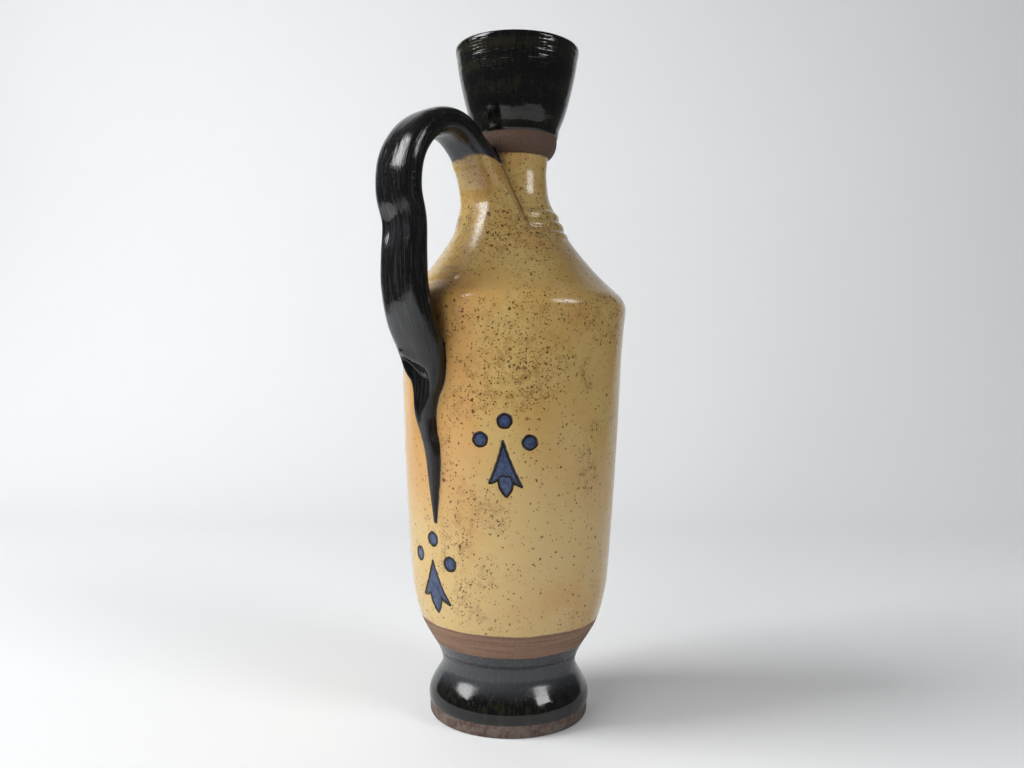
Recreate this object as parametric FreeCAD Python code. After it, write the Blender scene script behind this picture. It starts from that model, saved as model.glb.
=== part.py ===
import FreeCAD, Part
import math
import os

# Holy water jug, thrown and fired in one piece. Lengths are millimetres.
# The throwing axis is Z, the foot rests on Z = 0, the handle stands on the -X side.

# Heights up the foot and the body, then what stands on the ridge
waist_height = 24.0
root_height = 30.5
body_height = 50.0
ridge_height = 196.0
shoulder_rise = 66.0
neck_length = 6.0
collar_depth = 10.5
cup_depth = 41.5
neck_height = ridge_height + shoulder_rise
collar_height = neck_height + neck_length
cup_height = collar_height + collar_depth
jug_height = cup_height + cup_depth

# Radii of the turned form
foot_radius = 38.3
waist_radius = 32.3
root_radius = 33.4
body_radius = 44.8
ridge_radius = 54.6
neck_radius = 15.1
collar_radius = 19.6
cup_base_radius = 20.1
rim_radius = 29.7

# Clay thickness and the parts out of sight
wall = 5.0
lip_thickness = 3.0
floor_thickness = 10.0
throat_radius = 9.5
straight_height = 98.0

# How far a turned outline may lie off its true curve, in sight and inside
chord_gap = 0.2
inner_gap = 0.8

# Handle strap
strap_half_width = 12.6
strap_half_thickness = 6.1
finger_room = 6.0
arch_drop = 43.5

# Corners round a section of the strap and sections from one station to the next
section_corners = 20
section_parts = 2
no_ridge = (1, 0, 0, 0)

# Fingertip hollow in the fold at the strap's lower end
hollow_length = 26.0
hollow_width = 11.5
hollow_depth = 3.6
hollow_drop = 35.0
hollow_side = -0.5
hollow_lean = 5.0

# Throwing rings at the foot of the neck
ring_count = 3
ring_pitch = 4.5
ring_swell = 0.55
ring_start = 30.0

# Ermine spots pressed into the wall
spot_depth = 0.8
dot_radius = 3.4
dot_rise = 8.6
dot_drop = 8.4
dot_spread = 10.8
dot_lean = 4.0
tail_length = 24.4
tail_half_width = 8.0
spot_lean = 4.0
high_spot_angle = -138.0
high_spot_height = 112.3
low_spot_angle = -179.5
low_spot_height = 56.0


def point(radius, height):
    return FreeCAD.Vector(radius, 0, height)


def smooth(points, start=None, end=None):
    curve = Part.BSplineCurve()
    if start and end:
        curve.interpolate(Points=points, InitialTangent=start, FinalTangent=end)
    else:
        curve.interpolate(Points=points)
    return curve


def rounded(a, b, c):
    return Part.Arc(a, b, c)


def blend(a, b, share):
    return a + (b - a) * share


# Corners along a row of edges, close enough together to lie within the chord gap
def corners(edges, gap):
    points = [edges[0].Vertexes[0].Point]
    for edge in edges:
        if len(edge.Vertexes) == 2 and edge.Curve.TypeId == "Part::GeomLine":
            run = [vertex.Point for vertex in edge.Vertexes]
        else:
            run = edge.discretize(Deflection=gap)
        if run[0].distanceToPoint(points[-1]) > run[-1].distanceToPoint(points[-1]):
            run.reverse()
        points = points + run[1:]
    return points


def turned(edges, gap):
    face = Part.Face(Part.makePolygon(corners(edges, gap)))
    return face.revolve(FreeCAD.Vector(0, 0, 0), FreeCAD.Vector(0, 0, 1), 360)


# Side of the body, full near the foot and almost straight up to the ridge
def body_curve():
    rise = ridge_height - body_height
    swell = ridge_radius - body_radius
    flare = body_radius - root_radius
    lift = body_height - root_height
    points = [point(root_radius, root_height)]
    points.append(point(root_radius + 0.57 * flare, root_height + 0.47 * lift))
    points.append(point(body_radius, body_height))
    points.append(point(body_radius + 0.36 * swell, body_height + 0.11 * rise))
    points.append(point(body_radius + 0.63 * swell, body_height + 0.37 * rise))
    points.append(point(body_radius + 0.88 * swell, body_height + 0.68 * rise))
    points.append(point(ridge_radius, ridge_height))
    return smooth(points)


def radius_at(curve, height):
    low = curve.FirstParameter
    high = curve.LastParameter
    for _ in range(40):
        middle = (low + high) / 2
        if curve.value(middle).z < height:
            low = middle
        else:
            high = middle
    return curve.value(low).x


# Shoulder, round over the ridge, then a cone that hollows into the neck
def shoulder_curve():
    rise = neck_height - ridge_height
    reach = ridge_radius - neck_radius
    points = [point(ridge_radius, ridge_height)]
    points.append(point(ridge_radius - 0.05 * reach, ridge_height + 0.085 * rise))
    points.append(point(ridge_radius - 0.36 * reach, ridge_height + 0.26 * rise))
    points.append(point(ridge_radius - 0.73 * reach, ridge_height + 0.52 * rise))
    points.append(point(ridge_radius - 0.94 * reach, ridge_height + 0.77 * rise))
    points.append(point(neck_radius, neck_height))
    tangent = FreeCAD.Vector(-0.02 * reach, 0, 0.3 * rise)
    return smooth(points, FreeCAD.Vector(-0.005 * reach, 0, 0.3 * rise), tangent)


# Shoulder edges with the throwing rings standing out as small bulges
def shoulder_edges():
    curve = shoulder_curve()
    first = ridge_height + ring_start
    stops = [first + step * ring_pitch for step in range(ring_count + 1)]
    where = [curve.parameter(point(radius_at(curve, stop), stop)) for stop in stops]
    lower = curve.copy()
    lower.segment(curve.FirstParameter, where[0])
    upper = curve.copy()
    upper.segment(where[-1], curve.LastParameter)
    edges = [lower.toShape()]
    for step in range(ring_count):
        a = curve.value(where[step])
        b = curve.value(where[step + 1])
        middle = curve.value((where[step] + where[step + 1]) / 2)
        edges.append(rounded(a, middle + FreeCAD.Vector(ring_swell, 0, 0), b).toShape())
    edges.append(upper.toShape())
    return edges


# Foot like a spool, from the standing ring up to the root of the body
def foot_edges():
    edge = 1.2
    swell = foot_radius + 0.4
    low = [point(0, 0), point(foot_radius - edge, 0), point(foot_radius, edge)]
    shoulder = point(blend(foot_radius, waist_radius, 0.55), waist_height - 6.0)
    waist = point(waist_radius + 0.6, waist_height - 3.0)
    full = [point(swell, 5.5), point(swell, 10.5)]
    narrow = [point(waist_radius, waist_height - 0.5), point(waist_radius, waist_height + 2.5)]
    edges = [Part.makeLine(low[0], low[1]), Part.makeLine(low[1], low[2])]
    edges.append(Part.makeLine(low[2], full[0]))
    edges.append(Part.makeLine(full[0], full[1]))
    edges.append(smooth([full[1], point(foot_radius - 0.9, 14.0), shoulder]).toShape())
    edges.append(smooth([shoulder, waist, narrow[0]]).toShape())
    edges.append(Part.makeLine(narrow[0], narrow[1]))
    edges.append(Part.makeLine(narrow[1], point(root_radius - 0.5, root_height - 1.2)))
    edges.append(Part.makeLine(edges[-1].Vertexes[-1].Point, point(root_radius, root_height)))
    return edges


# Bare collar with a rounded lower edge, then the cup up to its round lip
def collar_and_cup_edges():
    neck = point(neck_radius, neck_height)
    under = point(neck_radius, collar_height - 0.4)
    step = collar_radius - neck_radius
    out = point(neck_radius + 0.62 * step, collar_height + 1.4)
    face = point(collar_radius, collar_height + 5.0)
    brow = point(collar_radius, cup_height - 0.6)
    base = point(cup_base_radius, cup_height + 0.6)
    height = jug_height - cup_height
    spread = rim_radius - cup_base_radius
    half_lip = lip_thickness / 2
    outer = [base]
    outer.append(point(cup_base_radius + 0.36 * spread, cup_height + 0.26 * height))
    outer.append(point(cup_base_radius + 0.70 * spread, cup_height + 0.59 * height))
    outer.append(point(rim_radius, jug_height - half_lip))
    top = point(rim_radius - half_lip, jug_height)
    inside = point(rim_radius - lip_thickness, jug_height - half_lip)
    edges = [Part.makeLine(neck, under)]
    edges.append(rounded(under, out, face).toShape())
    edges.append(Part.makeLine(face, brow))
    edges.append(Part.makeLine(brow, base))
    edges.append(smooth(outer).toShape())
    edges.append(rounded(outer[-1], top, inside).toShape())
    return edges, inside


def outer_form():
    edges = foot_edges() + [body_curve().toShape()] + shoulder_edges()
    upper, inside = collar_and_cup_edges()
    centre = point(0, inside.z)
    closing = [Part.makeLine(inside, centre), Part.makeLine(centre, point(0, 0))]
    return turned(edges + upper + closing, chord_gap)


# Room inside: a well in the foot, the body, the throat and the bowl of the cup.
# The wall is even up to the straight part, then thickens towards the shoulder.
def inner_form():
    curve = body_curve()
    well = waist_radius - wall - 1.0
    corner = 5.0
    floor = [point(0, floor_thickness), point(well - corner, floor_thickness)]
    foot = point(well, floor_thickness + corner)
    side = [foot, point(well, waist_height + 1.0)]
    side.append(point(radius_at(curve, body_height) - 1.2 * wall, body_height + 1.0))
    straight = radius_at(curve, straight_height) - wall
    side.append(point(straight, straight_height))
    side.append(point(straight, ridge_height - 8.0))
    bend = point(well - 0.29 * corner, floor_thickness + 0.29 * corner)
    edges = [Part.makeLine(floor[0], floor[1])]
    edges.append(rounded(floor[1], bend, foot).toShape())
    for low, high in zip(side, side[1:]):
        edges.append(Part.makeLine(low, high))
    roof = inner_shoulder()
    brow = point(straight - 1.2, ridge_height + 0.5)
    edges.append(rounded(side[-1], brow, roof[0]).toShape())
    edges.append(smooth(roof).toShape())
    bowl = inner_cup()
    edges.append(Part.makeLine(roof[-1], bowl[0]))
    edges.append(smooth(bowl).toShape())
    above = point(bowl[-1].x, jug_height + 5.0)
    edges.append(Part.makeLine(bowl[-1], above))
    edges.append(Part.makeLine(above, point(0, above.z)))
    edges.append(Part.makeLine(point(0, above.z), floor[0]))
    return turned(edges, inner_gap)


# Underside of the shoulder, one wall in from its cone, up to the throat
def inner_shoulder():
    reach = ridge_radius - neck_radius
    lift = neck_height - ridge_height
    inward = 0.74 * wall
    down = 0.68 * wall
    points = []
    for out, up in ((0.36, 0.26), (0.73, 0.52)):
        radius = ridge_radius - out * reach - inward
        points.append(point(radius, ridge_height + up * lift - down))
    points.append(point(throat_radius, ridge_height + 0.80 * lift))
    return points


# Bowl of the cup, from the throat out to the inside of the lip
def inner_cup():
    height = jug_height - cup_height
    mouth = rim_radius - lip_thickness
    points = [point(throat_radius, cup_height + 1.5)]
    points.append(point(blend(throat_radius, mouth, 0.42), cup_height + 0.16 * height))
    points.append(point(blend(throat_radius, mouth, 0.76), cup_height + 0.52 * height))
    points.append(point(mouth, jug_height - lip_thickness / 2))
    return points


# Stations down the strap: reach from the axis, height, side step, half width,
# half thickness, how square the section is, then the ridge and how upright it lies
def strap_stations():
    w = strap_half_width
    t = strap_half_thickness
    out = ridge_radius + finger_room + t
    top = jug_height - arch_drop
    neck = neck_radius
    arch = [(neck + 16.2, top - 7.0, 0, 0.88 * w, t, 3, 1, 0.4, 0.1, 0.1)]
    arch.append((neck + 25.2, top - 1.3, 0, 0.88 * w, t, 3) + no_ridge)
    arch.append((neck + 34.8, top, 0, 0.90 * w, t, 3) + no_ridge)
    arch.append((out - 6.3, top - 5.0, 0, 0.96 * w, t, 3) + no_ridge)
    arch.append((out + 2.2, top - 17.0, 0, w, t, 3) + no_ridge)
    grip = [(out + 4.0, ridge_height + 49.0, 0, 0.98 * w, t, 3) + no_ridge]
    grip.append((out + 1.0, ridge_height + 35.0, 0, w, 0.96 * t, 3) + no_ridge)
    grip.append((out + 0.6, ridge_height + 21.0, 0, w, t, 3) + no_ridge)
    grip.append((out - 0.2, ridge_height + 7.0, 0, 1.03 * w, t, 3) + no_ridge)
    grip.append((out - 4.5, ridge_height - 8.0, 0.2, 1.07 * w, 1.05 * t, 2.8) + no_ridge)
    grip.append((out - 9.6, ridge_height - 19.0, 0, 1.01 * w, 1.04 * t, 2.6) + no_ridge)
    return wedge_stations() + ridge_stations() + arch + grip + tail_stations()


# Root of the strap, clay pressed out over the shoulder until it dies into it.
# Each step is a height above the ridge, how proud it stands, and how far its
# centre and half width go out as shares of the shoulder's radius there.
def wedge_stations():
    curve = shoulder_curve()
    steps = [(8.0, -5.0, 0.22, 0.74)]
    steps.append((17.0, -0.2, 0.22, 0.82))
    steps.append((25.0, 2.4, 0.27, 0.87))
    steps.append((34.0, 5.6, 0.36, 0.87))
    stations = []
    for rise, proud, centre, width in steps:
        radius = radius_at(curve, ridge_height + rise)
        reach = centre * radius
        thick = radius + proud - reach
        stations.append((reach, ridge_height + rise, 0, width * radius, thick, 2.1, 1, 0, 0, 1))
    return stations


# The root going up the neck, where its front edge on one side is a sharp ridge.
# After the squareness come the ridge's half width as a share of the other side's,
# how far the edges lie ahead of the middle as a share of the thickness, the taper
# of the sides behind them, and 1 for a section that lies level.
def ridge_stations():
    neck = neck_radius
    low = ridge_height
    stations = [(neck - 9.1, low + 42.0, 0, 20.0, 19.0, 2.5, 0.76, 0.38, 0.20, 1)]
    stations.append((neck - 7.1, low + 48.0, 0, 18.0, 15.5, 2.5, 0.86, 0.62, 0.40, 1))
    stations.append((neck - 4.1, low + 54.0, 0, 15.8, 14.5, 2.5, 0.86, 0.64, 0.45, 1))
    stations.append((neck + 1.9, low + 62.5, 0, 12.6, 13.2, 2.5, 0.97, 0.68, 0.60, 0.9))
    stations.append((neck + 7.9, low + 68.5, 0, 12.3, 9.4, 2.5, 0.95, 0.70, 0.55, 0.5))
    return stations


# Tail drawn out over the wall. Each step is a drop below the ridge, a side step,
# a half width and a thickness as shares of the strap's own.
def tail_stations():
    curve = body_curve()
    steps = [(27.0, -0.9, 0.87, 0.95)]
    steps.append((33.0, -1.6, 0.72, 0.85))
    steps.append((40.0, -0.5, 0.51, 0.72))
    steps.append((48.5, 0.6, 0.43, 0.60))
    steps.append((56.5, -0.9, 0.32, 0.50))
    steps.append((65.0, -3.0, 0.28, 0.44))
    steps.append((78.0, -3.3, 0.20, 0.34))
    steps.append((87.0, -2.9, 0.12, 0.24))
    steps.append((98.0, -2.3, 0.03, 0.08))
    stations = []
    for drop, side, width, thick in steps:
        height = ridge_height - drop
        radius = radius_at(curve, height) + 0.35 * thick * strap_half_thickness
        half_width = width * strap_half_width
        half_thickness = thick * strap_half_thickness
        stations.append((radius, height, side, half_width, half_thickness, 2.3) + no_ridge)
    return stations


# Closed section of the strap, a rounded oblong square to the run of the handle.
# Its edges lie ahead of the middle, one a sharp ridge, and the sides taper in.
def strap_section(centre, run, station):
    half_width, half_thickness, square, ridge_width, edge_ahead, taper = station[3:9]
    back = min(half_thickness, 1.4 * strap_half_thickness)
    across = FreeCAD.Vector(0, 1, 0)
    across = across - run * across.dot(run)
    across.normalize()
    outward = run.cross(across)
    points = []
    for step in range(section_corners):
        turn = 2 * math.pi * (step + 0.5) / section_corners
        c = math.cos(turn)
        s = math.sin(turn)
        wide = half_width if c > 0 else ridge_width * half_width
        ahead = edge_ahead * half_thickness
        blunt = 2 / (square if s > 0 else max(square, 3))
        x = math.copysign(abs(c) ** blunt, c) * wide
        if c < 0 and s > 0:
            blunt = blunt + edge_ahead
        rise = abs(s) ** blunt
        if s > 0:
            y = ahead + rise * (half_thickness - ahead)
        else:
            y = ahead - rise * (back + ahead)
            x = x * (1 - taper * rise)
        points.append(centre + across * x + outward * y)
    return Part.makePolygon(points + [points[0]])


# Value part of the way from b to c on the curve that runs on through a, b, c, d
def eased(a, b, c, d, share):
    start = (c - a) / 2
    end = (d - b) / 2
    square = share * share
    cube = square * share
    value = b * (2 * cube - 3 * square + 1) + start * (cube - 2 * square + share)
    return value + c * (3 * square - 2 * cube) + end * (cube - square)


# Stations with more of them eased in between, so that the strap bends smoothly
def eased_stations(stations, parts):
    last = len(stations) - 1
    result = []
    for index in range(last):
        near = [stations[max(index - 1, 0)], stations[index]]
        near = near + [stations[index + 1], stations[min(index + 2, last)]]
        for part in range(parts):
            share = part / parts
            result.append([eased(*values, share) for values in zip(*near)])
    result.append(stations[last])
    return result


# Solid through the sections at a row of stations
def swept(stations):
    centres = [FreeCAD.Vector(-s[0], s[2], s[1]) for s in stations]
    wires = []
    for index, station in enumerate(stations):
        before = centres[max(index - 1, 0)]
        after = centres[min(index + 1, len(centres) - 1)]
        run = after - before
        run.normalize()
        run = run * (1 - station[9]) + FreeCAD.Vector(0, 0, station[9])
        run.normalize()
        wires.append(strap_section(centres[index], run, station))
    return Part.makeLoft(wires, True, True)


def handle():
    return swept(eased_stations(strap_stations(), section_parts))


# Hollow pressed by a fingertip where the strap folds onto the wall
def finger_hollow():
    curve = body_curve()
    stations = []
    for share in (0.04, 0.15, 0.3, 0.5, 0.7, 0.85, 0.96):
        drop = hollow_drop + (0.5 - share) * hollow_length
        height = ridge_height - drop
        full = math.sin(math.pi * share) ** 0.6
        reach = radius_at(curve, height) + strap_skin(drop)
        side = hollow_side + hollow_lean * (share - 0.5)
        half_width = 0.5 * hollow_width * full
        stations.append((reach, height, side, half_width, hollow_depth * full, 2.0) + no_ridge)
    return swept(stations)


# How far the strap's outer skin stands off the wall at a drop below the ridge
def strap_skin(drop):
    stations = eased_stations(strap_stations(), section_parts)
    lower = [station for station in stations[len(stations) // 2:]]
    nearest = min(lower, key=lambda station: abs(ridge_height - drop - station[1]))
    return nearest[0] + nearest[4] - radius_at(body_curve(), nearest[1])


# Outline of the ermine tail, its point up and three lobes below
def tail_outline():
    w = tail_half_width
    high = tail_length
    apex = FreeCAD.Vector(0, high, 0)
    left = FreeCAD.Vector(-w, 0.20 * high, 0)
    right = FreeCAD.Vector(w, 0.20 * high, 0)
    notch_left = FreeCAD.Vector(-0.42 * w, 0.29 * high, 0)
    notch_right = FreeCAD.Vector(0.42 * w, 0.29 * high, 0)
    low = FreeCAD.Vector(0, 0, 0)
    edges = [rounded(apex, FreeCAD.Vector(-0.40 * w, 0.62 * high, 0), left)]
    edges.append(rounded(left, FreeCAD.Vector(-0.68 * w, 0.225 * high, 0), notch_left))
    edges.append(rounded(notch_left, FreeCAD.Vector(-0.32 * w, 0.14 * high, 0), low))
    edges.append(rounded(low, FreeCAD.Vector(0.32 * w, 0.14 * high, 0), notch_right))
    edges.append(rounded(notch_right, FreeCAD.Vector(0.68 * w, 0.225 * high, 0), right))
    edges.append(rounded(right, FreeCAD.Vector(0.40 * w, 0.62 * high, 0), apex))
    return Part.Face(Part.Wire([edge.toShape() for edge in edges]))


# One ermine spot: three dots over a tail, sunk to an even depth in the wall
def ermine_spot(angle, height):
    curve = body_curve()
    reach = 12.0
    tail = tail_outline().extrude(FreeCAD.Vector(0, 0, reach))
    tail.rotate(FreeCAD.Vector(0, 0.5 * tail_length, 0), FreeCAD.Vector(0, 0, 1), spot_lean)
    prints = [tail]
    crown = tail_length + dot_rise
    for side, lift in ((-dot_spread, crown - dot_drop), (0, crown), (dot_spread, crown - dot_drop)):
        dot = Part.makeCylinder(dot_radius, reach, FreeCAD.Vector(side, lift, 0))
        dot.rotate(FreeCAD.Vector(0, crown, 0), FreeCAD.Vector(0, 0, 1), -dot_lean)
        prints.append(dot)
    cutters = []
    low = height - 3.0
    high = height + crown + dot_radius + 3.0
    inset = [point(radius_at(curve, z) - spot_depth, z) for z in (low, (low + high) / 2, high)]
    edges = [rounded(inset[0], inset[1], inset[2]).toShape()]
    edges.append(Part.makeLine(inset[2], point(0, high)))
    edges.append(Part.makeLine(point(0, high), point(0, low)))
    edges.append(Part.makeLine(point(0, low), inset[0]))
    core = turned(edges, chord_gap)
    for shape in prints:
        shape.rotate(FreeCAD.Vector(0, 0, 0), FreeCAD.Vector(1, 0, 0), 90)
        shape.rotate(FreeCAD.Vector(0, 0, 0), FreeCAD.Vector(0, 0, 1), 90)
        shape.translate(FreeCAD.Vector(inset[0].x - 3.0, 0, height))
        shape.rotate(FreeCAD.Vector(0, 0, 0), FreeCAD.Vector(0, 0, 1), angle)
        cutters.append(shape.cut(core))
    return cutters


def jug():
    strap = handle().cut(finger_hollow()).Solids[0]
    body = outer_form().fuse(strap)
    body = body.cut(inner_form())
    spots = ermine_spot(high_spot_angle, high_spot_height)
    spots = spots + ermine_spot(low_spot_angle, low_spot_height)
    return body.cut(spots)


os.makedirs("parts", exist_ok=True)
shape = jug()
solid = shape.Solids[0]
print("solids", len(shape.Solids), "valid", solid.isValid(), "volume", round(solid.Volume))
solid.exportStep("parts/jug.step")
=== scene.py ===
import bpy
import bmesh
import math
import numpy as np
from types import SimpleNamespace
from mathutils import Matrix, Vector
from mathutils.bvhtree import BVHTree
from mathutils.interpolate import poly_3d_calc


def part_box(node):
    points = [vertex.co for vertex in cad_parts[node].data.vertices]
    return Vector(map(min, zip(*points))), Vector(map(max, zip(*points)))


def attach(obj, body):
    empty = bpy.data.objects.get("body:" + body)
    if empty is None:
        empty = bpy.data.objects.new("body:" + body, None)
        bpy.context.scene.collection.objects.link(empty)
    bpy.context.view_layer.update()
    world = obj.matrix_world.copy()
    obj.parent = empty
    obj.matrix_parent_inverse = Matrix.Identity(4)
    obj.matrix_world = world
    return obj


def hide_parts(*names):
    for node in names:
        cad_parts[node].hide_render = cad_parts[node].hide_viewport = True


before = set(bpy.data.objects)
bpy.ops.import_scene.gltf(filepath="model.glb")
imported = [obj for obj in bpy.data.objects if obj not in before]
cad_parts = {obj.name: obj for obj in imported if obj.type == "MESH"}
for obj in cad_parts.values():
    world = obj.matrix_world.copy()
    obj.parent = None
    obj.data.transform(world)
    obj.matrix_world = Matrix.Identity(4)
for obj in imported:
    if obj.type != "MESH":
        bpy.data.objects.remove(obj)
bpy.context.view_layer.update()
lowCorner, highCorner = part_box("jug")
drawnHeight = 320
unit = (highCorner.z - lowCorner.z) / drawnHeight  # one millimetre of the drawing, in metres


# small helpers for shapes
def spline(points, step):
    # points on a smooth line through the given ones
    pts = np.array(points, float)
    ends = np.vstack([2 * pts[0] - pts[1], pts, 2 * pts[-1] - pts[-2]])
    out = []
    for i in range(len(pts) - 1):
        a, b, c, d = ends[i:i + 4]
        count = max(1, int(math.ceil(np.linalg.norm(c - b) / step)))
        gapA = np.linalg.norm(b - a) ** 0.5
        gapB = np.linalg.norm(c - b) ** 0.5
        gapC = np.linalg.norm(d - c) ** 0.5
        for k in range(count):
            t = k / count
            startSlope = (b - a) / gapA - (c - a) / (gapA + gapB) + (c - b) / gapB
            endSlope = (c - b) / gapB - (d - b) / (gapB + gapC) + (d - c) / gapC
            m0 = startSlope * gapB
            m1 = endSlope * gapB
            out.append((2 * t**3 - 3 * t**2 + 1) * b + (t**3 - 2 * t**2 + t) * m0
                       + (3 * t**2 - 2 * t**3) * c + (t**3 - t**2) * m1)
    out.append(pts[-1])
    return np.array(out)


def meshObject(name, verts, faces):
    mesh = bpy.data.meshes.new(name)
    mesh.from_pydata([tuple(v) for v in verts], [], [tuple(f) for f in faces])
    mesh.update()
    thing = bpy.data.objects.new(name, mesh)
    bpy.context.scene.collection.objects.link(thing)
    return thing


def smooth(thing):
    for polygon in thing.data.polygons:
        polygon.use_smooth = True


def ease(x, low, high):
    t = np.clip((x - low) / (high - low), 0, 1)
    return t * t * (3 - 2 * t)


# the turned form: radius and height in millimetres, each run ends at a corner of the form
turned = {
    "foot": [(36.6, 0), (37.9, 0.3), (38.3, 1.4), (38.35, 5.6)],
    "torus": [(38.35, 5.7), (38.75, 6.6), (38.95, 9), (38.6, 11.6), (37.6, 14.2), (36.2, 16.8), (34.6, 19.3),
              (33.2, 21.6), (32.5, 23.8), (32.5, 26), (32.9, 28.2), (33.3, 29.3), (33.1, 29.9)],
    "belly": [(33.1, 30), (33.8, 30.6), (34.6, 32.3), (36.2, 35.2), (39.2, 40.1), (42.1, 45.3), (43.9, 49.8),
              (45.8, 57), (47.1, 64), (48.3, 78), (49.3, 94)],
    "shoulder": [(49.4, 95), (49.9, 103), (51.2, 127), (52.2, 151), (53.0, 175), (53.8, 187),
                 (54.35, 193), (54.5, 195.4), (54.2, 197.6), (52.4, 201.2), (47.2, 206), (39.7, 213.2),
                 (33.4, 220.3), (29.3, 225.2), (26.3, 229.2)],
    "rings": [(26.3, 229.3), (25.6, 231.2), (24.1, 232.6), (24.0, 234.3), (23.2, 236.2), (21.7, 237.5),
              (21.5, 239.3), (20.8, 241.0), (19.5, 242.2), (18.7, 243.4)],
    "neck": [(18.7, 243.5), (17.4, 246), (16.2, 249.4), (15.2, 256.5), (14.9, 261.5), (15.1, 265),
             (15.3, 267.6)],
    "collar": [(15.4, 267.8), (16.7, 268.5), (18.3, 270.6), (19.2, 272.8), (19.55, 275), (19.6, 277.6)],
    "cup": [(19.65, 277.7), (20.05, 278.1), (20.3, 279.3), (20.5, 281.2), (21.4, 283.6), (23.2, 288.3),
            (25.2, 295.4), (26.8, 302.4), (28.2, 309.6), (29.0, 315), (29.55, 318.2), (29.5, 319.2),
            (28.9, 319.85), (28.1, 320), (27.3, 319.75), (26.85, 319)],
    "bowl": [(26.8, 318.6), (26.1, 313), (25.0, 307), (23.2, 300.5), (20.5, 292.8), (16.7, 285.8),
             (12.6, 281.7), (10.4, 280), (9.6, 277)],
    "hidden": [(9.5, 274), (9.5, 250), (24, 229), (36, 211), (45, 196), (45.5, 185), (44.8, 98), (38.5, 51),
               (26, 25), (26, 15), (21, 10.2)],
}
turnedSteps = {"foot": 0.9, "torus": 1.2, "belly": 2.2, "shoulder": 1.6, "rings": 0.6, "neck": 1.6,
               "collar": 1.0, "cup": 1.5, "bowl": 2.5, "hidden": 40}
turnedRuns = {name: spline(points, turnedSteps[name]) for name, points in turned.items()}
outline = np.vstack(list(turnedRuns.values()))
bodyWall = np.vstack([turnedRuns[name] for name in ("foot", "torus", "belly", "shoulder", "rings", "neck")])
segments = 240
lean = {"left": 0.6, "from": 45, "to": 268}  # the thrown body swells a little to the left of the view


def leanAt(z):
    share = np.clip((z - lean["from"]) / (lean["to"] - lean["from"]), 0, 1)
    return lean["left"] * np.sin(math.pi * share)


def radiusAt(z):
    return float(np.interp(z, bodyWall[:, 1], bodyWall[:, 0]))


def gridFaces(rows, columns):
    # four-sided faces over rings of points, closed round each ring and capped at both ends
    faces = []
    for i in range(rows - 1):
        for j in range(columns):
            k = (j + 1) % columns
            faces.append((i * columns + j, i * columns + k, (i + 1) * columns + k, (i + 1) * columns + j))
    faces.append(tuple(reversed(range(columns))))
    faces.append(tuple(range((rows - 1) * columns, rows * columns)))
    return faces


def buildTurned():
    angles = np.arange(segments) * 2 * math.pi / segments
    verts = []
    for r, z in outline:
        shift = leanAt(z) * math.sqrt(0.5)
        ring = [r * np.cos(angles) - shift, r * np.sin(angles) + shift, np.full(segments, z)]
        verts.append(np.stack(ring, 1))
    return meshObject("turnedForm", np.vstack(verts), gridFaces(len(outline), segments))


# the handle strap
strap = {"halfWidth": 12.6, "halfThickness": 6.1, "reach": 66.7, "top": 276.5, "around": 72, "step": 1.15}


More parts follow.
